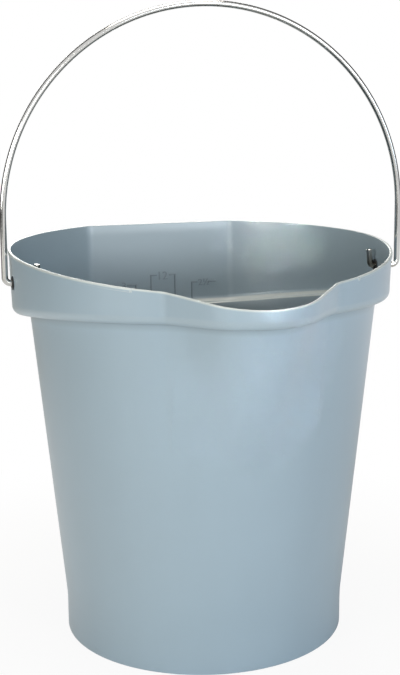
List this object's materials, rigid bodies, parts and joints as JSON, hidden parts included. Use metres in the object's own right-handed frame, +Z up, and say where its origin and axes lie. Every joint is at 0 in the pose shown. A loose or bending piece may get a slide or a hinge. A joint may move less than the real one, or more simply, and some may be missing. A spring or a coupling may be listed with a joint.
{
  "type": "bucket with pouring spout",
  "caption": "Round moulded bucket with a flat back, a stepped band at the rim, a pouring spout and a swinging wire bail held in bushes.",
  "frame": {"origin": "middle of the round foot, on the surface that the bucket stands on", "axes": "+Z up, -Y out of the spout, +Y out of the flat back, +X along the line that the bail turns about"},
  "size_m": [0.3282, 0.3225, 0.501],
  "materials": {
    "shell_plastic": "satin moulded polypropylene",
    "bail_wire": "drawn stainless wire",
    "bush_plastic": "matt black moulded plastic"
  },
  "bodies": {
    "bucket": {"bucket_shell": "shell_plastic", "left_bush": "bush_plastic", "right_bush": "bush_plastic"},
    "bail": {"bail_handle": "bail_wire"}
  },
  "joints": [
    {"name": "bail_swing", "type": "hinge", "parent": "bucket", "child": "bail", "pos_m": [0.0056, 0, 0.2887], "axis": [1, 0, 0], "range_deg": [-140, 140]}
  ]
}
